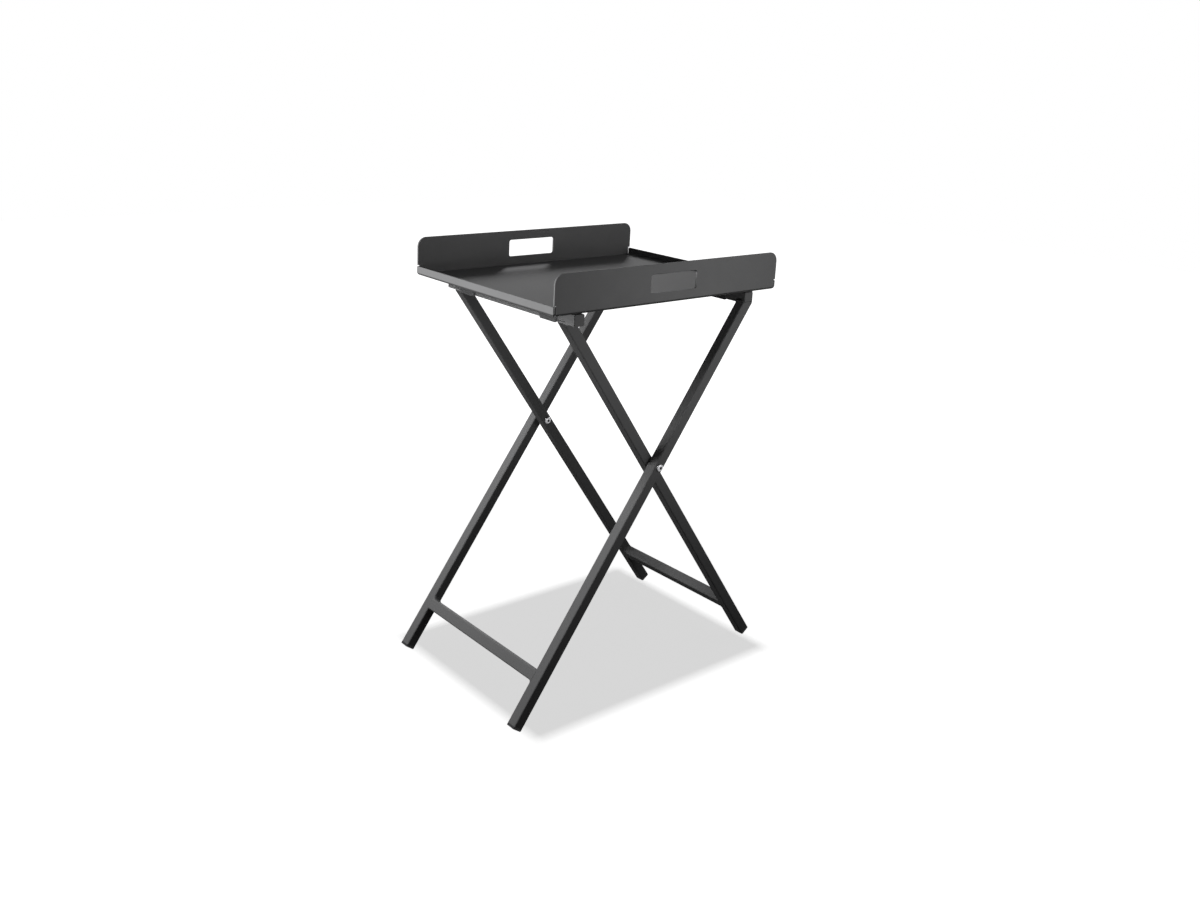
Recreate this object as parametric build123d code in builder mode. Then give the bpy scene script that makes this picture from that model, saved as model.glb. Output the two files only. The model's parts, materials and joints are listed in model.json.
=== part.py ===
from build123d import *

import os
from math import cos, radians, sin, tan

# A folding tray table: a sheet tray with two tall handled sides, resting on two crossed
# frames of square tube. Millimetres and degrees. X runs along the tall sides, Y across the
# table from front to rear, Z up. The origin is on the floor, midway between the feet.

# Tray
tray_length = 505.0  # over the two low lips
tray_width = 395.0  # over the two tall sides
tray_underside = 712.0  # height of the tray's underside above the floor
tray_shift = -9.0  # the tray sits this far towards the hook end of the stand
tray_sheet = 3.0
tray_bend = 5.5  # outside radius of the bends
side_height = 67.0  # tall sides, from the underside
side_corner = 17.0  # rounded top corners of the tall sides
lip_height = 16.0
lip_corner = 2.0
lip_slit = 1.8  # open slit between a lip and the tall side behind and above it
side_overhang = 3.8  # the tall sides reach this far out over the lips
lip_inset = 1.0  # the lips stop this far short of the tall sides' outer faces
handle_length = 104.0
handle_height = 31.0
handle_corner = 4.0
handle_top_margin = 17.0  # metal left above the handle slot
sheet_edge = 0.7  # eased edges of the tray's sheet

# Square tube of both frames
tube = 20.0
tube_wall = 2.0
tube_corner = 2.5

# Stand
frame_width = 362.0  # outer frame, over its legs
leg_lean = 35.4  # lean of the legs from upright
leg_gap = 3.4  # between an outer leg and the inner leg beside it
pivot_height = 414.0
stretcher_reach = 411.5  # from the pivot down the leg to the middle of the stretcher
bar_set_out = 1.0  # crossbars sit this far outside the middle of the legs' tops
end_plate = 2.0  # plates that close the crossbar ends

# Foot caps
foot_cap = 4.5  # thickness of the cap below the tube
foot_flat_depth = 1.5  # the lowest edge of the cap is levelled by this much
foot_edge = 0.8
plug_depth = 14.0
plug_wall = 2.0
plug_corner = 1.0
plug_clearance = 0.1

# Pivots
sleeve_diameter = 9.0
screw_diameter = 6.0
bush_wall = 1.4
spacer_diameter = 18.0
head_diameter = 14.0
head_height = 4.0
head_round = 3.2
socket_across_flats = 5.0
socket_depth = 2.4
screw_engagement = 26.0
sleeve_end_gap = 1.0
running_clearance = 0.05

# Brackets welded under the tray, and the rubber strips under them
bracket_sheet = 3.0
bracket_length = 42.0
bracket_leg_gap = 1.0  # along the crossbar, between a bracket and the inner leg
bracket_side_gap = 0.5  # between a flange and the side of the crossbar
bracket_drop = 0.5  # the flanges reach this far below the crossbar
bracket_bend = 4.0
bracket_corner = 2.0
strip_thickness = 2.0
strip_margin = 0.5  # left clear at the edges of the crossbar and at the ends of a strip

# Places that follow from the sizes above
lean = radians(leg_lean)
bar_top = tray_underside - bracket_sheet - strip_thickness
bar_bottom = bar_top - tube
bar_middle = bar_top - tube / 2
bar_offset = (bar_bottom - pivot_height) * tan(lean) + bar_set_out
outer_leg_y = frame_width / 2 - tube / 2
inner_leg_y = outer_leg_y - tube - leg_gap
outer_clear_half = outer_leg_y - tube / 2
inner_clear_half = inner_leg_y - tube / 2
bracket_middle = inner_clear_half - bracket_leg_gap - bracket_length / 2
foot_reach = (pivot_height - tube / 2 * sin(lean) + foot_flat_depth) / cos(lean)
leg_bottom = foot_reach - foot_cap
leg_blank = leg_bottom + (bar_top - pivot_height) / cos(lean) + tube
tube_bore = tube - 2 * tube_wall
tube_bore_corner = tube_corner - tube_wall
plug_size = tube_bore - 2 * plug_clearance
plug_bore = plug_size - 2 * plug_wall
side_half = tray_length / 2 - tray_sheet - lip_slit
side_reach = side_half + side_overhang
over_lips = lip_height + lip_slit
lip_half = tray_width / 2 - lip_inset
handle_middle = side_height - handle_top_margin - handle_height / 2
sleeve_bore = sleeve_diameter + 2 * running_clearance
bush_diameter = sleeve_bore + 2 * bush_wall
leg_bore = bush_diameter + 2 * running_clearance
pivot_line = Plane(origin=(0, 0, pivot_height), x_dir=(1, 0, 0), z_dir=(0, 1, 0))
tray_middle = Vector(tray_shift, 0, tray_underside)

# The outer frame leans to +X at its top, the inner frame to -X
frames = {
    "outer": {"side": 1, "leg_y": outer_leg_y, "clear_half": outer_clear_half},
    "inner": {"side": -1, "leg_y": inner_leg_y, "clear_half": inner_clear_half},
}
ends = {"front": -1, "rear": 1}


def save(part, name):
    """Label a finished piece and write it."""
    part.label = name
    export_step(part, f"parts/{name}.step")


def leg_plane(side, y):
    """The plane across a leg at its pivot, with its normal up the leg."""
    up_the_leg = (side * sin(lean), 0, cos(lean))
    return Plane(origin=(0, y, pivot_height), x_dir=(0, 1, 0), z_dir=up_the_leg)


def draw_tube():
    """The hollow square section that legs, crossbars and stretchers share."""
    RectangleRounded(tube, tube, tube_corner)
    RectangleRounded(tube_bore, tube_bore, tube_bore_corner, mode=Mode.SUBTRACT)


def draw_hexagon(across_flats):
    RegularPolygon(across_flats / 2, 6, major_radius=False)


def make_tray():
    """Floor, two tall sides and two lips, bent from one sheet."""
    across = Plane(origin=tray_middle, x_dir=(0, 1, 0), z_dir=(1, 0, 0))
    along = Plane(origin=tray_middle, x_dir=(1, 0, 0), z_dir=(0, -1, 0))
    base = (Align.CENTER, Align.MIN)
    with BuildPart() as tall:
        # Floor and tall sides: a deep channel along X
        with BuildSketch(across) as channel:
            Rectangle(tray_width, side_height, align=base)
            fillet(channel.vertices().group_by(Axis.Y)[0], tray_bend)
        extrude(amount=side_reach, both=True)
        with BuildSketch(across.offset(-side_reach)) as hollow:
            with Locations((0, tray_sheet)):
                Rectangle(tray_width - 2 * tray_sheet, side_height, align=base)
            fillet(hollow.vertices().group_by(Axis.Y)[0], tray_bend - tray_sheet)
        extrude(amount=2 * side_reach, mode=Mode.SUBTRACT)
        # The sides are cut back behind the lips
        with BuildSketch(along) as outline:
            Rectangle(2 * side_half, over_lips, align=base)
            with Locations((0, over_lips)):
                Rectangle(2 * side_reach, side_height - over_lips, align=base)
            fillet(outline.vertices().group_by(Axis.Y)[-1], side_corner)
        extrude(amount=tray_width, both=True, mode=Mode.INTERSECT)
        with BuildSketch(along):
            with Locations((0, handle_middle)):
                RectangleRounded(handle_length, handle_height, handle_corner)
        extrude(amount=tray_width, both=True, mode=Mode.SUBTRACT)
        above_slit = tray_underside + over_lips + lip_slit / 2
        rims = tall.edges().filter_by(lambda edge: edge.center().Z > above_slit)
        # The upright ends over the lips stay square
        upright = rims.filter_by(Axis.Z)
        over_ends = upright.filter_by(lambda edge: abs(edge.center().X - tray_shift) > handle_length)
        fillet(rims - over_ends, sheet_edge)
    with BuildPart() as tray_pan:
        # Lips: a shallow channel along Y, its lower corners rounded like the bends
        with BuildSketch(along) as channel:
            Rectangle(tray_length, lip_height, align=base)
            fillet(channel.vertices().group_by(Axis.Y)[0], tray_bend)
        extrude(amount=lip_half, both=True)
        with BuildSketch(along.offset(-lip_half)) as hollow:
            with Locations((0, tray_sheet)):
                Rectangle(tray_length - 2 * tray_sheet, lip_height, align=base)
            fillet(hollow.vertices().group_by(Axis.Y)[0], tray_bend - tray_sheet)
        extrude(amount=2 * lip_half, mode=Mode.SUBTRACT)
        with BuildSketch(across) as outline:
            Rectangle(2 * lip_half, lip_height, align=base)
            fillet(outline.vertices().group_by(Axis.Y)[0], tray_bend)
            fillet(outline.vertices().group_by(Axis.Y)[-1], lip_corner)
        extrude(amount=tray_length, both=True, mode=Mode.INTERSECT)
        lip_rims = tray_pan.edges().filter_by(Axis.Y).group_by(Axis.Z)[-1]
        fillet(lip_rims, sheet_edge)
        add(tall.part)
    save(tray_pan.part, "tray_pan")


def make_leg(name, side, y):
    with BuildPart() as leg:
        with BuildSketch(leg_plane(side, y).offset(-leg_bottom)):
            draw_tube()
        extrude(amount=leg_blank)
        # The top is cut level, to carry the crossbar
        split(bisect_by=Plane.XY.offset(bar_bottom), keep=Keep.BOTTOM)
        with BuildSketch(pivot_line):
            Circle(leg_bore / 2)
        extrude(amount=frame_width, both=True, mode=Mode.SUBTRACT)
    save(leg.part, name)


def make_crossbar(name, side):
    with BuildPart() as crossbar:
        middle = (side * bar_offset, 0, bar_middle)
        with BuildSketch(Plane(origin=middle, x_dir=(1, 0, 0), z_dir=(0, 1, 0))):
            draw_tube()
        extrude(amount=frame_width / 2 - end_plate, both=True)
    save(crossbar.part, name)


def make_end_plate(name, side, end):
    start = (side * bar_offset, end * (frame_width / 2 - end_plate), bar_middle)
    with BuildPart() as plate:
        with BuildSketch(Plane(origin=start, x_dir=(1, 0, 0), z_dir=(0, end, 0))):
            RectangleRounded(tube, tube, tube_corner)
        extrude(amount=end_plate)
        fillet(plate.faces().sort_by(Axis.Y)[0 if end < 0 else -1].edges(), sheet_edge)
    save(plate.part, name)


def make_stretcher(name, side, half_length):
    across = leg_plane(side, 0)
    middle = across.origin - across.z_dir * stretcher_reach
    with BuildPart() as stretcher:
        with BuildSketch(Plane(origin=middle, x_dir=across.z_dir, z_dir=(0, 1, 0))):
            draw_tube()
        extrude(amount=half_length, both=True)
    save(stretcher.part, name)


def make_foot_cap(name, side, y):
    """A cap as wide as the tube, with a hollow plug that goes up inside it."""
    across = leg_plane(side, y)
    with BuildPart() as cap:
        with BuildSketch(across.offset(-foot_reach)):
            RectangleRounded(tube, tube, tube_corner)
        extrude(amount=foot_cap)
        fillet(cap.faces().sort_by(Axis(across.origin, across.z_dir))[0].edges(), foot_edge)
        with BuildSketch(across.offset(-leg_bottom)):
            RectangleRounded(plug_size, plug_size, plug_corner)
            RectangleRounded(plug_bore, plug_bore, plug_corner, mode=Mode.SUBTRACT)
        extrude(amount=plug_depth)
        # The lowest edge is levelled, so that the foot stands flat
        split(bisect_by=Plane.XY, keep=Keep.TOP)
    save(cap.part, name)


def make_bush(name, y):
    with BuildPart() as bush:
        with BuildSketch(pivot_line.offset(y - tube / 2)):
            Circle(bush_diameter / 2)
            Circle(sleeve_bore / 2, mode=Mode.SUBTRACT)
        extrude(amount=tube)
    save(bush.part, name)


def make_spacer(name, end):
    """The washer that keeps an inner leg clear of the outer leg beside it."""
    middle = end * (outer_clear_half - leg_gap / 2)
    with BuildPart() as spacer:
        with BuildSketch(pivot_line.offset(middle - leg_gap / 2)):
            Circle(spacer_diameter / 2)
            Circle(sleeve_bore / 2, mode=Mode.SUBTRACT)
        extrude(amount=leg_gap)
    save(spacer.part, name)


def make_sleeve_nut(name, end):
    """Headed sleeve that both legs turn on: its head bears on the inner leg."""
    bearing = (0, end * inner_clear_half, pivot_height)
    face = Plane(origin=bearing, x_dir=(1, 0, 0), z_dir=(0, -end, 0))
    shank_length = frame_width / 2 - inner_clear_half - sleeve_end_gap
    with BuildPart() as sleeve:
        with BuildSketch(face):
            Circle(head_diameter / 2)
        extrude(amount=head_height)
        fillet(sleeve.edges().sort_by(Axis(face.origin, face.z_dir))[-1], head_round)
        with BuildSketch(face):
            Circle(sleeve_diameter / 2)
        extrude(amount=-shank_length)
        with BuildSketch(face.offset(-shank_length)):
            Circle(screw_diameter / 2 + running_clearance)
        extrude(amount=screw_engagement + sleeve_end_gap, mode=Mode.SUBTRACT)
        with BuildSketch(face.offset(head_height)):
            draw_hexagon(socket_across_flats)
        extrude(amount=-socket_depth, mode=Mode.SUBTRACT)
    save(sleeve.part, name)


def make_screw(name, end):
    """Button-head screw that closes the sleeve from outside the outer leg."""
    bearing = (0, end * frame_width / 2, pivot_height)
    face = Plane(origin=bearing, x_dir=(1, 0, 0), z_dir=(0, end, 0))
    with BuildPart() as screw:
        with BuildSketch(face):
            Circle(head_diameter / 2)
        extrude(amount=head_height)
        fillet(screw.edges().sort_by(Axis(face.origin, face.z_dir))[-1], head_round)
        with BuildSketch(face):
            Circle(screw_diameter / 2)
        extrude(amount=-screw_engagement)
        with BuildSketch(face.offset(head_height)):
            draw_hexagon(socket_across_flats)
        extrude(amount=-socket_depth, mode=Mode.SUBTRACT)
    save(screw.part, name)


def make_bracket(name, side, end, flange_sides):
    """Bent plate under the tray that goes over a crossbar, with a flange on each side named."""
    inside = tube / 2 + bracket_side_gap
    depth = tray_underside - bar_bottom + bracket_drop
    start_y = end * bracket_middle + bracket_length / 2
    start = (side * bar_offset, start_y, tray_underside)
    section = Plane(origin=start, x_dir=(1, 0, 0), z_dir=(0, -1, 0))
    with BuildPart() as bracket:
        with BuildSketch(section):
            Rectangle(tube, bracket_sheet, align=(Align.CENTER, Align.MAX))
        extrude(amount=bracket_length)
        for flange in flange_sides:
            outer = flange * (inside + bracket_sheet)
            with BuildSketch(section) as elbow:
                with BuildLine():
                    Polyline((0, 0), (outer, 0), (outer, -depth), (flange * inside, -depth),
                             (flange * inside, -bracket_sheet), (0, -bracket_sheet), close=True)
                make_face()
                corner = elbow.vertices().group_by(Axis.Y)[-1].sort_by(lambda v: abs(v.X))[-1]
                fillet(corner, bracket_bend)
            extrude(amount=bracket_length)
        feet = bracket.edges().filter_by(Axis.X).group_by(Axis.Z)[0]
        fillet(feet, bracket_corner)
    save(bracket.part, name)


def make_strip(name, side, end, reach):
    """Rubber strip on a crossbar, from the inner end of a bracket out to the reach given."""
    start = bracket_middle - bracket_length / 2 + strip_margin
    finish = reach - strip_margin
    middle = (side * bar_offset, end * (start + finish) / 2, bar_top)
    with BuildPart() as strip:
        with BuildSketch(Plane(origin=middle)):
            Rectangle(tube - 2 * strip_margin, finish - start)
        extrude(amount=strip_thickness)
        fillet(strip.edges().filter_by(Axis.Z), strip_margin)
    save(strip.part, name)


os.makedirs("parts", exist_ok=True)

make_tray()

for frame, at in frames.items():
    make_crossbar(f"{frame}_crossbar", at["side"])
    make_stretcher(f"{frame}_stretcher", at["side"], at["clear_half"])
    for end_name, end in ends.items():
        make_leg(f"{frame}_leg_{end_name}", at["side"], end * at["leg_y"])
        make_end_plate(f"{frame}_end_plate_{end_name}", at["side"], end)
        make_foot_cap(f"{frame}_foot_cap_{end_name}", at["side"], end * at["leg_y"])
        make_bush(f"{frame}_pivot_bush_{end_name}", end * at["leg_y"])

for end_name, end in ends.items():
    make_spacer(f"pivot_spacer_{end_name}", end)
    make_sleeve_nut(f"pivot_sleeve_{end_name}", end)
    make_screw(f"pivot_screw_{end_name}", end)
    # The saddles straddle the outer crossbar, the hooks only stop the inner one spreading
    make_bracket(f"tray_saddle_{end_name}", 1, end, (-1, 1))
    make_bracket(f"tray_hook_{end_name}", -1, end, (-1,))
    # The saddles rest on strips that run to the crossbar's ends, the hooks have theirs inside them
    make_strip(f"saddle_strip_{end_name}", 1, end, frame_width / 2)
    make_strip(f"hook_strip_{end_name}", -1, end, bracket_middle + bracket_length / 2)
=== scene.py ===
import json
from math import cos, pi, radians, sin, sqrt, tan

import bmesh
import bpy
from mathutils import Matrix, Vector


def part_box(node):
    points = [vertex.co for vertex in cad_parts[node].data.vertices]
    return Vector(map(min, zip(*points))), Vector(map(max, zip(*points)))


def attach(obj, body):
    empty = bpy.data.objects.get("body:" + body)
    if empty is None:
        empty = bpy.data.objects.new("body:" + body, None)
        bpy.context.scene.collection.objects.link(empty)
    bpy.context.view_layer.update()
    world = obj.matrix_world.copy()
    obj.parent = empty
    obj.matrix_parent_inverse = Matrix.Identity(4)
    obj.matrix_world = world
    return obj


# The looks of a folding tray table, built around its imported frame. Metres, +Z up, front is -Y.
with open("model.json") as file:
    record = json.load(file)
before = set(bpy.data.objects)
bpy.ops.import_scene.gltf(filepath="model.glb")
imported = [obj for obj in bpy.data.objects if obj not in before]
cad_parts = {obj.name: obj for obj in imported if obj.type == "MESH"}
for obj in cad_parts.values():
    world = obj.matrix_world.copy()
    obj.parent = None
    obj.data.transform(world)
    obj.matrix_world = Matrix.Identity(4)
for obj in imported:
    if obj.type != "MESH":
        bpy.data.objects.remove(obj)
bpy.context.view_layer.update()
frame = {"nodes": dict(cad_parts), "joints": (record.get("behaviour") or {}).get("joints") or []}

# Camera, as fitted to the photo
image_width = 1200
image_height = 900
focal_length = 1157.4  # pixels
optical_centre = (583.27, 359.95)  # pixels, from the top left
sensor_width = 36.0  # millimetres
camera_place = Vector((-1.3347, -1.5471, 1.0936))
camera_yaw = 0.700  # radians, from +Y towards +X
camera_pitch = -0.253
camera_roll = 0.046

# Square tube of the frames
tube_half = 0.010
tube_corner = 0.0025
leg_lean = radians(35.4)
leans = {"outer": 1, "inner": -1}  # which way each frame's legs lean, along X
ends = {"front": -1, "rear": 1}  # along Y

# Welds of the frames
heavy_fillet = 0.0065  # over a stretcher at the rear, under it at the front
light_fillet = 0.002
bar_fillet = 0.003
least_run = 0.0008  # of a weld along a stretcher
side_rise = 0.003  # a weld runs this far up the side of a crossbar
weld_sink = 0.0001  # the rims of a weld are let into the metal
weld_proud = 0.00003  # a weld ground flush stands this proud
weld_depth = 0.0012  # hidden root of a weld
root_share = 0.3  # of that depth, how far the root lies behind the joint
weld_steps = 5  # faces across a weld
corner_steps = 6  # faces round a corner of the tube
side_steps = 4  # faces along a side of the tube

# Beads at the ends of the tray's brackets
bead_size = 0.0022
bead_crown = 0.62  # how far out and down a bead's curve is drawn, as a share of its size
bead_margin = 0.0045  # a bead stops this far short of a bracket's bends
bead_ripple = 0.0018  # spacing of the ripples
ripple_height = 0.07  # as a share of the bead's size
bead_bluntness = 8  # the higher, the shorter the tapered ends
least_taper = 0.02  # square of the share of its size that a bead keeps at its tips
bead_steps = 48  # faces along a bead
bead_steps_across = 4

# Tones
tray_tone = (0.100, 0.100, 0.101)
frame_tone = (0.098, 0.098, 0.099)
# The brackets take the frames' paint, darker as painted shade under the tray
bracket_shaded_tone = (0.055, 0.055, 0.056)
plastic_tone = (0.018, 0.018, 0.019)
nylon_tone = (0.030, 0.030, 0.031)
rubber_tone = (0.016, 0.016, 0.016)
steel_tone = (0.36, 0.36, 0.37)

# What the finishes take for an edge and for a face that looks down
edge_samples = 4
edge_cosines = (0.80, 0.99)  # between the rounded normal and a face's own: on an edge, on a flat
down_slopes = (-0.45, -0.05)  # Z of the normal: well down, upright

# Powder coat
tray_rough = 0.66
frame_rough = 0.80
coat_specular = 0.025
tray_painted_shade = 0.7  # share of its tone that the tray loses where it looks down: painted shade on its underside and lower bends
cloud_size = 0.16
cloud_shade = 0.14  # a texture's change of tone
cloud_dulling = 0.10  # a texture's change of roughness
mark_size = 0.03
mark_shade = 0.12
mark_dulling = 0.14
peel_size = 0.0026
peel_share = 0.7  # of the relief
grain_size = 0.0007
grain_share = 0.3
grain_shade = 0.30
coat_depth = 0.0002  # of the relief
coat_relief = 0.25  # how strongly the relief shows
coat_edge = 0.0009  # width of the rubbed edges, which are paler partly as a painted highlight
rubbed_marks = (0.35, 0.65)  # values of the marks where edges are least and most rubbed
least_rubbed = 0.3
# Rubbed edges are paler: partly wear, partly a painted highlight
edge_wear_and_highlight = 0.25
rubbed_dulling = -0.10

# Moulded plastic
plastic_rough = 0.62
plastic_pebble = 0.0009
nylon_rough = 0.45
nylon_pebble = 0.0005
plastic_specular = 0.2
pebble_shade = 0.3
pebble_depth = 0.00008
pebble_relief = 0.5
scuff_size = 0.012
scuff_shade = 0.4
scuff_dulling = 0.2
plastic_edge = 0.0007  # width of the scuffed edges
scuffed_edge_shade = 0.8

# Rubber
rubber_rough = 0.8
rubber_specular = 0.15
line_scale = 160.0  # of the wave texture
line_waver = 1.5
line_shade = 0.2
line_depth = 0.0001
line_relief = 0.4
bloom_size = 0.008
bloom_shade = 0.6
bloom_dulling = 0.2

# Turned steel
across_axis = (1.0, 0.0, 1.0)  # leaves out Y, the pivots' axis
head_radius = 0.007
socket_radius = 0.0023
steel_rough = 0.24
ring_scale = 700.0  # of the wave texture
ring_waver = 0.6
ring_shade = 0.25
ring_depth = 0.00002
ring_relief = 0.25
haze_size = 0.0028
# Haze: random patches of tone, partly a painted reflection of light and dark
haze_and_reflection_shade = 1.0
haze_dulling = 0.2
socket_shaded_share = 0.18  # share of its tone that the steel keeps in the socket, as painted shade
socket_fade = 1.3  # the socket's painted shade ends at this many times its radius
rim_shaded_share = 0.35  # and round the rim, also painted shade
rim_fade = 0.82  # the painted shade round the rim starts at this share of the head's radius

# Stage
floor_half = 6.0
floor_colour = 0.9
floor_bounce = 0.15  # the floor's colour as it lights the object
floor_glow = 0.645  # the floor's own white, near the object
glow_near = 0.55  # from the middle, where the glow starts to rise to full white
glow_far = 1.5  # where it reaches it
ambient = 0.04  # the world's strength as a light

# Lamps: what each lights, name, place, aim, width and height, spread in degrees, power in watts
middle = (0.0, 0.0, 0.45)
tray_middle = (0.0, 0.0, 0.74)
hook_end = (-0.26, 0.0, 0.724)
hook_bar = (-0.21, 0.0, 0.70)
lamps = (
    ("floor", "floor_lamp", (-0.12, 0.0, 8.0), (-0.12, 0.0, 0.0), (0.25, 0.25), 180, 235.0),
    ("tray", "tray_key", (2.48, 2.66, 2.40), (-0.25, 0.10, 0.72), (0.75, 1.56), 30, 17.3),
    ("tray", "tray_left", (-2.0, 0.28, 0.62), hook_end, (0.6, 0.2), 180, 95.0),
    ("tray", "tray_front_right", (0.42, -1.00, 0.88), tray_middle, (0.4, 0.4), 75, 1.0),
    ("tray", "tray_front_left", (-0.15, -1.00, 0.88), tray_middle, (0.4, 0.4), 75, 0.45),
    ("hook", "hook_rear", (-0.75, 0.20, 0.50), hook_bar, (0.5, 0.1), 180, 2.0),
    ("hook", "hook_front", (-0.55, -0.45, 0.60), hook_bar, (0.3, 0.1), 180, 2.4),
    ("frame", "key", (-1.80, 1.20, 3.00), middle, (0.4, 0.4), 180, 55.0),
    ("frame", "left_near", (-0.65, 0.25, 1.00), middle, (0.4, 0.4), 180, 11.3),
    ("frame", "front_right", (0.20, -0.65, 0.65), (0.15, 0.0, 0.74), (0.4, 0.4), 180, 1.5),
    ("frame", "front_left", (-0.30, -0.65, 0.65), tray_middle, (0.4, 0.4), 75, 0.2),
    ("frame", "rear_right", (1.70, 1.70, 0.66), middle, (0.9, 0.9), 180, 48.0),
)


def add_camera():
    forward = Vector((
        sin(camera_yaw) * cos(camera_pitch),
        cos(camera_yaw) * cos(camera_pitch),
        sin(camera_pitch),
    ))
    level = Vector((cos(camera_yaw), -sin(camera_yaw), 0.0))
    above = level.cross(forward)
    right = level * cos(camera_roll) + above * sin(camera_roll)
    up = above * cos(camera_roll) - level * sin(camera_roll)
    data = bpy.data.cameras.new("camera")
    data.sensor_width = sensor_width
    data.lens = sensor_width * focal_length / image_width
    data.shift_x = (image_width / 2 - optical_centre[0]) / image_width
    data.shift_y = (optical_centre[1] - image_height / 2) / image_width
    camera = bpy.data.objects.new("camera", data)
    turn = Matrix((right, up, -forward)).transposed().to_4x4()
    camera.matrix_world = Matrix.Translation(camera_place) @ turn
    bpy.context.scene.collection.objects.link(camera)
    bpy.context.scene.camera = camera


# Node helpers: a value is a number, a vector or another node's output
def put(tree, value, socket):
    if isinstance(value, bpy.types.NodeSocket):
        tree.links.new(value, socket)
    else:
        socket.default_value = value


def operate(tree, kind, operation, values):
    node = tree.nodes.new(kind)
    node.operation = operation
    for value, socket in zip(values, node.inputs):
        put(tree, value, socket)
    return node.outputs


def arithmetic(tree, operation, *values):
    return operate(tree, "ShaderNodeMath", operation, values)["Value"]


def vectors(tree, operation, *values):
    return operate(tree, "ShaderNodeVectorMath", operation, values)


def times(tree, first, second):
    return arithmetic(tree, "MULTIPLY", first, second)


def total(tree, *values):
    result = values[0]
    for value in values[1:]:
        result = arithmetic(tree, "ADD", result, value)
    return result


def swing(tree, value, amount):
    # A 0-1 texture as a change of up to half the amount each way
    return times(tree, arithmetic(tree, "SUBTRACT", value, 0.5), amount)


def spread_over(tree, value, lowest, highest, start, finish):
    # Goes smoothly from start to finish while the value goes from its lowest to its highest
    node = tree.nodes.new("ShaderNodeMapRange")
    node.interpolation_type = "SMOOTHSTEP"
    put(tree, value, node.inputs["Value"])
    node.inputs["From Min"].default_value = lowest
    node.inputs["From Max"].default_value = highest
    node.inputs["To Min"].default_value = start
    node.inputs["To Max"].default_value = finish
    return node.outputs["Result"]


def geometry(tree, name):
    return tree.nodes.new("ShaderNodeNewGeometry").outputs[name]


def show(tree, seen, lighting, output):
    # One shader for what is seen, straight or in a gloss, and another for the light it sends to the table
    path = tree.nodes.new("ShaderNodeLightPath").outputs
    directly = total(tree, path["Is Camera Ray"], path["Is Glossy Ray"], path["Is Transmission Ray"])
    mix = tree.nodes.new("ShaderNodeMixShader")
    put(tree, directly, mix.inputs["Fac"])
    put(tree, lighting, mix.inputs[1])
    put(tree, seen, mix.inputs[2])
    put(tree, mix.outputs["Shader"], output.inputs["Surface"])


# Stage
def add_world():
    # White to look at, and dim as a light
    world = bpy.data.worlds.new("studio")
    world.use_nodes = True
    tree = world.node_tree
    white = tree.nodes["Background"]
    dim = tree.nodes.new("ShaderNodeBackground")
    for shader, strength in ((white, 1.0), (dim, ambient)):
        shader.inputs["Color"].default_value = (1.0, 1.0, 1.0, 1.0)
        shader.inputs["Strength"].default_value = strength
    show(tree, white.outputs["Background"], dim.outputs["Background"], tree.nodes["World Output"])
    bpy.context.scene.world = world


def matt(tree, grey):
    node = tree.nodes.new("ShaderNodeBsdfDiffuse")
    node.inputs["Color"].default_value = (grey, grey, grey, 1.0)
    return node.outputs["BSDF"]


def floor_paint():
    # Matt white with a glow of its own, which fades the floor out to the white of the world
    material = bpy.data.materials.new("studio_floor")
    material.use_nodes = True
    tree = material.node_tree
    away = vectors(tree, "LENGTH", geometry(tree, "Position"))["Value"]
    glow = tree.nodes.new("ShaderNodeEmission")
    put(tree, spread_over(tree, away, glow_near, glow_far, floor_glow, 1.0), glow.inputs["Strength"])
    seen = tree.nodes.new("ShaderNodeAddShader")
    put(tree, glow.outputs["Emission"], seen.inputs[0])
    put(tree, matt(tree, floor_colour), seen.inputs[1])
    show(tree, seen.outputs["Shader"], matt(tree, floor_bounce), tree.nodes["Material Output"])
    return material


def add_floor():
    mesh = bpy.data.meshes.new("studio_floor")
    corners = [(-1, -1), (1, -1), (1, 1), (-1, 1)]
    mesh.from_pydata([(floor_half * x, floor_half * y, 0.0) for x, y in corners], [], [(0, 1, 2, 3)])
    mesh.materials.append(floor_paint())
    floor = bpy.data.objects.new("studio_floor", mesh)
    bpy.context.scene.collection.objects.link(floor)
    return floor


def add_softbox(name, place, aim, size, spread, power):
    data = bpy.data.lights.new(name, "AREA")
    data.shape = "RECTANGLE"
    data.size, data.size_y = size
    data.spread = radians(spread)
    data.energy = power
    lamp = bpy.data.objects.new(name, data)
    turn = (Vector(aim) - Vector(place)).to_track_quat("-Z", "Y").to_matrix().to_4x4()
    lamp.matrix_world = Matrix.Translation(place) @ turn
    lamp.visible_camera = False
    bpy.context.scene.collection.objects.link(lamp)
    return lamp


def only(name, things):
    # A group for light linking that takes in these things alone
    group = bpy.data.collections.new(name)
    for thing in things:
        group.objects.link(thing)
    return group


def all_but(name, things):
    # A group for light linking that takes in everything except these
    group = only(name, things)
    for entry in group.collection_objects:
        entry.light_linking.link_state = "EXCLUDE"
    return group


def add_lamps(floor):
    # The photo shows no shadow of the legs and feet on the floor, so the floor's lamp leaves them out
    nodes = frame["nodes"]
    tray = nodes["tray_pan"]
    hook = [nodes["inner_crossbar"]]
    legs = []
    for end in ends:
        hook += [nodes["tray_hook_" + end], bpy.data.objects["weld_inner_crossbar_" + end]]
        for side in leans:
            legs += [nodes[f"{side}_leg_{end}"], nodes[f"{side}_foot_cap_{end}"]]
    groups = {
        "floor": only("lit_floor", [floor]),
        "tray": only("lit_tray", [tray]),
        "hook": only("lit_hook", hook),
        "frame": all_but("lit_frame", [floor, tray]),
    }
    for lights, *values in lamps:
        lamp = add_softbox(*values)
        lamp.light_linking.receiver_collection = groups[lights]
        lamp.visible_glossy = lights != "tray"
        if lights == "floor":
            lamp.light_linking.blocker_collection = all_but("no_shadow", legs)


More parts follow.
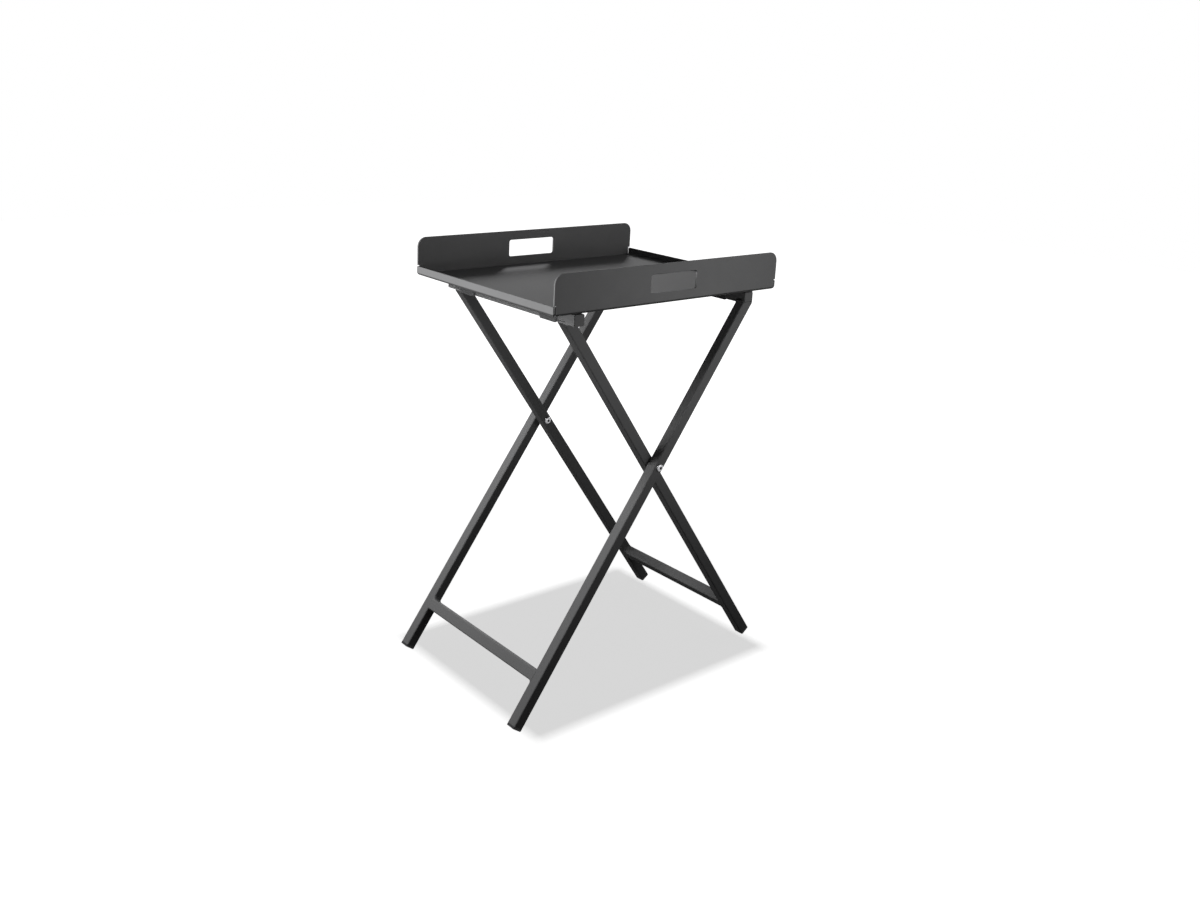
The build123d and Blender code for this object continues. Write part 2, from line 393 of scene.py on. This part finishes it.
# Parts of finishes
def new_material(name):
    material = bpy.data.materials.new(name)
    material.use_nodes = True
    tree = material.node_tree
    place = tree.nodes.new("ShaderNodeTexCoord").outputs["Object"]
    return material, tree, tree.nodes["Principled BSDF"], place


def noise(tree, place, size, detail):
    node = tree.nodes.new("ShaderNodeTexNoise")
    put(tree, place, node.inputs["Vector"])
    node.inputs["Scale"].default_value = 1.0 / size
    node.inputs["Detail"].default_value = detail
    return node.outputs["Fac"]


def waves(tree, place, scale, waver):
    node = tree.nodes.new("ShaderNodeTexWave")
    put(tree, place, node.inputs["Vector"])
    node.inputs["Scale"].default_value = scale
    node.inputs["Distortion"].default_value = waver
    return node


def tint(tree, tone, shade, shader):
    node = tree.nodes.new("ShaderNodeVectorMath")
    node.operation = "SCALE"
    put(tree, tone, node.inputs[0])
    put(tree, shade, node.inputs["Scale"])
    put(tree, node.outputs["Vector"], shader.inputs["Base Color"])


def relief(tree, height, depth, strength, shader):
    node = tree.nodes.new("ShaderNodeBump")
    node.inputs["Strength"].default_value = strength
    node.inputs["Distance"].default_value = depth
    put(tree, height, node.inputs["Height"])
    put(tree, node.outputs["Normal"], shader.inputs["Normal"])


def edges(tree, radius):
    # 1 on outer and inner edges, 0 on flat faces
    bevel = tree.nodes.new("ShaderNodeBevel")
    bevel.samples = edge_samples
    bevel.inputs["Radius"].default_value = radius
    cosine = vectors(tree, "DOT_PRODUCT", bevel.outputs["Normal"], geometry(tree, "Normal"))["Value"]
    return spread_over(tree, cosine, *edge_cosines, 1.0, 0.0)


def looks_down(tree):
    # 1 on faces that look well down, 0 on upright and upward ones
    parts = tree.nodes.new("ShaderNodeSeparateXYZ")
    put(tree, geometry(tree, "Normal"), parts.inputs["Vector"])
    return spread_over(tree, parts.outputs["Z"], *down_slopes, 1.0, 0.0)


# Finishes
def powder_coat(name, tone, rough, painted_shade=0.0):
    # Matt textured paint: fine grain over orange peel, clouds, handling marks, rubbed edges that are
    # paler partly as a painted highlight, and painted shade on faces that look down
    material, tree, shader, place = new_material(name)
    clouds = noise(tree, place, cloud_size, detail=3.0)
    marks = noise(tree, place, mark_size, detail=5.0)
    peel = noise(tree, place, peel_size, detail=1.0)
    grain = noise(tree, place, grain_size, detail=2.0)
    # Rubbed edges: worn where the marks are, and paler partly as a painted highlight
    worn = spread_over(tree, marks, *rubbed_marks, least_rubbed, 1.0)
    worn_highlit_edges = times(tree, edges(tree, coat_edge), worn)
    shade = total(
        tree,
        1.0,
        swing(tree, clouds, cloud_shade),
        swing(tree, marks, mark_shade),
        swing(tree, grain, grain_shade),
        times(tree, worn_highlit_edges, edge_wear_and_highlight),
    )
    # Painted shade: faces that look down lose this share of their tone
    painted_shade_factor = arithmetic(tree, "SUBTRACT", 1.0, times(tree, looks_down(tree), painted_shade))
    tint(tree, tone, times(tree, shade, painted_shade_factor), shader)
    dullness = total(
        tree,
        rough,
        swing(tree, clouds, cloud_dulling),
        swing(tree, marks, mark_dulling),
        times(tree, worn_highlit_edges, rubbed_dulling),
    )
    put(tree, dullness, shader.inputs["Roughness"])
    height = total(tree, times(tree, peel, peel_share), times(tree, grain, grain_share))
    relief(tree, height, coat_depth, coat_relief, shader)
    shader.inputs["Specular IOR Level"].default_value = coat_specular
    return material


def moulded_plastic(name, tone, pebble, rough):
    # Dull moulding: pebbled by the mould's spark finish, a little paler where it scuffs
    material, tree, shader, place = new_material(name)
    pebbles = tree.nodes.new("ShaderNodeTexVoronoi")
    put(tree, place, pebbles.inputs["Vector"])
    pebbles.inputs["Scale"].default_value = 1.0 / pebble
    bumps = pebbles.outputs["Distance"]
    scuffs = noise(tree, place, scuff_size, detail=4.0)
    shade = total(
        tree,
        1.0,
        swing(tree, scuffs, scuff_shade),
        swing(tree, bumps, pebble_shade),
        times(tree, edges(tree, plastic_edge), scuffed_edge_shade),
    )
    tint(tree, tone, shade, shader)
    put(tree, total(tree, rough, swing(tree, scuffs, scuff_dulling)), shader.inputs["Roughness"])
    relief(tree, bumps, pebble_depth, pebble_relief, shader)
    shader.inputs["Specular IOR Level"].default_value = plastic_specular
    return material


def extruded_rubber(name, tone):
    # Strip stock: drawn lines along its length, bloomed grey in patches
    material, tree, shader, place = new_material(name)
    wave = waves(tree, place, line_scale, line_waver)
    wave.bands_direction = "X"
    lines = wave.outputs["Fac"]
    bloom = noise(tree, place, bloom_size, detail=4.0)
    shade = total(tree, 1.0, swing(tree, bloom, bloom_shade), swing(tree, lines, line_shade))
    tint(tree, tone, shade, shader)
    put(tree, total(tree, rubber_rough, swing(tree, bloom, bloom_dulling)), shader.inputs["Roughness"])
    relief(tree, lines, line_depth, line_relief, shader)
    shader.inputs["Specular IOR Level"].default_value = rubber_specular
    return material


def turned_steel(name, tone, pivot):
    # Stainless: rings left by turning about the pivot's axis, haze patches that are partly a painted
    # reflection, painted shade in the socket and round the rim
    material, tree, shader, place = new_material(name)
    centred = vectors(tree, "SUBTRACT", place, pivot)["Vector"]
    across = vectors(tree, "MULTIPLY", centred, across_axis)["Vector"]
    radius = vectors(tree, "LENGTH", across)["Value"]
    wave = waves(tree, centred, ring_scale, ring_waver)
    wave.wave_type = "RINGS"
    wave.rings_direction = "Y"
    rings = wave.outputs["Fac"]
    haze = noise(tree, place, haze_size, detail=4.0)
    # Painted shade in the socket and round the rim
    socket = spread_over(tree, radius, socket_radius, socket_radius * socket_fade, socket_shaded_share, 1.0)
    rim = spread_over(tree, radius, head_radius * rim_fade, head_radius, 1.0, rim_shaded_share)
    # The haze's patches are partly a painted reflection
    shade = total(tree, 1.0, swing(tree, haze, haze_and_reflection_shade), swing(tree, rings, ring_shade))
    tint(tree, tone, times(tree, shade, times(tree, socket, rim)), shader)
    put(tree, total(tree, steel_rough, swing(tree, haze, haze_dulling)), shader.inputs["Roughness"])
    relief(tree, rings, ring_depth, ring_relief, shader)
    shader.inputs["Metallic"].default_value = 1.0
    return material


def dress(material, *nodes):
    for name in nodes:
        mesh = frame["nodes"][name].data
        mesh.materials.clear()
        mesh.materials.append(material)


# Welds
def tube_outline():
    # Points all round the square between a tube's corner centres, each with its outward direction
    outline = []
    reach = tube_half - tube_corner
    for quarter in range(4):
        start = quarter * pi / 2
        centre = Vector((cos(start + pi / 4), sin(start + pi / 4))) * sqrt(2) * reach
        after = Vector((-centre.y, centre.x))
        for step in range(corner_steps + 1):
            angle = start + step / corner_steps * pi / 2
            outline.append((centre, Vector((cos(angle), sin(angle)))))
        way = Vector((cos(start + pi / 2), sin(start + pi / 2)))
        for step in range(1, side_steps):
            outline.append((centre.lerp(after, step / side_steps), way))
    return outline


def rounding(offset):
    # How far a tube's rounded corner falls away from its flat, at an offset across the flat
    over = min(max(abs(offset) - (tube_half - tube_corner), 0.0), tube_corner)
    return tube_corner - sqrt(tube_corner ** 2 - over ** 2)


def curve(first, control, last, steps):
    points = []
    for step in range(steps + 1):
        t = step / steps
        points.append(first * (1 - t) ** 2 + control * 2 * t * (1 - t) + last * t ** 2)
    return points


def add_weld(name, sections, body, material, joined=True):
    # A closed skin through sections of equal length, joined into a ring or else capped at both ends
    data = bmesh.new()
    rows = [[data.verts.new(point) for point in section] for section in sections]
    following = rows[1:] + rows[:1] if joined else rows[1:]
    for row, after in zip(rows, following):
        for k in range(len(row)):
            data.faces.new((row[k - 1], row[k], after[k], after[k - 1]))
    if not joined:
        data.faces.new(rows[0])
        data.faces.new(rows[-1])
    bmesh.ops.recalc_face_normals(data, faces=data.faces)
    mesh = bpy.data.meshes.new(name)
    data.to_mesh(mesh)
    data.free()
    for face in mesh.polygons:
        face.use_smooth = True
    mesh.materials.append(material)
    piece = bpy.data.objects.new(name, mesh)
    bpy.context.scene.collection.objects.link(piece)
    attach(piece, body)


def leg_axes(lean):
    along = Vector((lean * sin(leg_lean), 0.0, cos(leg_lean)))
    normal = Vector((-cos(leg_lean), 0.0, lean * sin(leg_lean)))
    return along, normal


def stretcher_weld(side, end, material):
    # A fillet round the end of a stretcher, heavy on one side and nearly flush on the others
    along, normal = leg_axes(leans[side])
    inward = Vector((0.0, -ends[end], 0.0))
    low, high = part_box(side + "_stretcher")
    joint = (low + high) / 2
    joint.y = high.y if ends[end] > 0 else low.y
    sections = []
    for centre, way in tube_outline():
        fillet = heavy_fillet if way.x * ends[end] > 0 else light_fillet
        run = max(fillet * abs(way.x), least_run)
        flat = centre + way * (tube_corner + weld_proud)
        rim = joint + along * flat.x + normal * flat.y
        sideways = along * way.x + normal * way.y
        on_leg = rim + along * way.x * fillet - inward * (rounding(flat.y) + weld_sink * abs(way.x))
        on_bar = rim + inward * run - sideways * weld_sink
        root = rim - sideways * weld_depth - inward * weld_depth * root_share
        sections.append(curve(on_leg, rim, on_bar, weld_steps) + [root])
    add_weld(f"weld_{side}_stretcher_{end}", sections, side + "_frame", material)


def crossbar_weld(side, end, pivot, material):
    # A fillet round the top of a leg, out under its crossbar and up the crossbar's sides
    lean = leans[side]
    along, normal = leg_axes(lean)
    up = Vector((0.0, 0.0, 1.0))
    bar_low, bar_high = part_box(side + "_crossbar")
    leg_low, leg_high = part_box(f"{side}_leg_{end}")
    plate_low, plate_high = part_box(f"{side}_end_plate_{end}")
    bar_end = plate_high.y if ends[end] > 0 else plate_low.y
    bar_middle = (bar_low.x + bar_high.x) / 2
    leg_middle = (leg_low.y + leg_high.y) / 2
    top = Vector((lean * (bar_low.z - pivot.z) * tan(leg_lean), leg_middle, bar_low.z))
    sections = []
    for centre, way in tube_outline():
        flat = centre + way * (tube_corner + weld_proud)
        sideways = normal * way.x + Vector((0.0, way.y, 0.0))
        edge = top + Vector((-flat.x / cos(leg_lean), flat.y, 0.0))
        on_leg = edge - along * bar_fillet - sideways * weld_sink
        # Where the weld ends along Y: up the end plate if the leg is flush with it, or else under the bar
        if abs(bar_end - edge.y) < bar_fillet and way.y * ends[end] > 0:
            end_y = edge + up * bar_fillet
        else:
            under_x = min(max(edge.x, bar_low.x + weld_sink), bar_high.x - weld_sink)
            end_y = Vector((under_x, edge.y, bar_low.z + rounding(under_x - bar_middle) + weld_sink))
            end_y.y += bar_fillet * way.y
        # Where it ends along X: up the crossbar's side, in line with the leg on the inside
        way_x = 1 if edge.x > bar_middle else -1
        inside = way_x * lean < 0
        side_x = bar_middle + way_x * (tube_half + weld_proud)
        gap = max(abs(edge.x - bar_middle) - tube_half, 0.0)
        bend_z = bar_low.z + (gap / tan(leg_lean) if inside else tube_corner / 2)
        bend_x = Vector((side_x if inside else edge.x, edge.y, bend_z))
        end_x = Vector((side_x, edge.y, bend_z + side_rise))
        control = bend_x * way.x ** 2 + edge * way.y ** 2
        last = end_x * way.x ** 2 + end_y * way.y ** 2
        root = edge - sideways * weld_depth + up * weld_depth * root_share
        sections.append(curve(on_leg, control, last, weld_steps) + [root])
    add_weld(f"weld_{side}_crossbar_{end}", sections, side + "_frame", material)


def bracket_bead(bracket, end, edge, way, material):
    # A rippled bead in the corner between the tray's underside and one end of a bracket
    low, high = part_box(f"tray_{bracket}_{end}")
    y = low.y if way < 0 else high.y
    start = Vector((low.x + bead_margin, y, high.z))
    finish = Vector((high.x - bead_margin, y, high.z))
    outward = Vector((0.0, way, 0.0))
    down = Vector((0.0, 0.0, -1.0))
    sections = []
    for step in range(bead_steps + 1):
        t = step / bead_steps
        run = (finish - start).length * t
        taper = sqrt(max(1.0 - (2.0 * abs(t - 0.5)) ** bead_bluntness, least_taper))
        size = bead_size * taper * (1.0 + ripple_height * cos(2 * pi * run / bead_ripple))
        place = start.lerp(finish, t)
        on_tray = place + outward * size - down * weld_sink
        on_end = place + down * size - outward * weld_sink
        crown = place + (outward + down) * size * bead_crown
        root = place - (outward + down) * weld_sink
        sections.append(curve(on_tray, crown, on_end, bead_steps_across) + [root])
    add_weld(f"weld_{bracket}_{end}_{edge}", sections, "tray", material, joined=False)


add_camera()
add_world()

# Every CAD node gets its finish
stand_fold = next(joint for joint in frame["joints"] if joint["name"] == "stand_fold")
pivot_place = Vector(stand_fold["pos_m"])
tray_coat = powder_coat("tray_coat", tray_tone, tray_rough, tray_painted_shade)
frame_coat = powder_coat("frame_coat", frame_tone, frame_rough)
# The brackets' coat is a darker copy of the frames': painted shade
bracket_coat = powder_coat("bracket_coat", bracket_shaded_tone, frame_rough)
foot_plastic = moulded_plastic("foot_plastic", plastic_tone, plastic_pebble, plastic_rough)
pivot_nylon = moulded_plastic("pivot_nylon", nylon_tone, nylon_pebble, nylon_rough)
strip_rubber = extruded_rubber("strip_rubber", rubber_tone)
pivot_steel = turned_steel("pivot_steel", steel_tone, pivot_place)
dress(tray_coat, "tray_pan")
for end in ends:
    dress(bracket_coat, "tray_saddle_" + end, "tray_hook_" + end)
    dress(strip_rubber, "saddle_strip_" + end, "hook_strip_" + end)
    dress(pivot_nylon, "pivot_spacer_" + end)
    dress(pivot_steel, "pivot_sleeve_" + end, "pivot_screw_" + end)
for side in leans:
    dress(frame_coat, side + "_crossbar", side + "_stretcher")
    for end in ends:
        dress(frame_coat, f"{side}_leg_{end}", f"{side}_end_plate_{end}")
        dress(foot_plastic, f"{side}_foot_cap_{end}")
        dress(pivot_nylon, f"{side}_pivot_bush_{end}")

# The welds are added to the frames and to the tray's brackets
for side in leans:
    for end in ends:
        stretcher_weld(side, end, frame_coat)
        crossbar_weld(side, end, pivot_place, frame_coat)
for bracket in ("saddle", "hook"):
    for end in ends:
        bracket_bead(bracket, end, "a", -1, bracket_coat)
        bracket_bead(bracket, end, "b", 1, bracket_coat)

add_lamps(add_floor())
bpy.context.scene.view_settings.view_transform = "Standard"
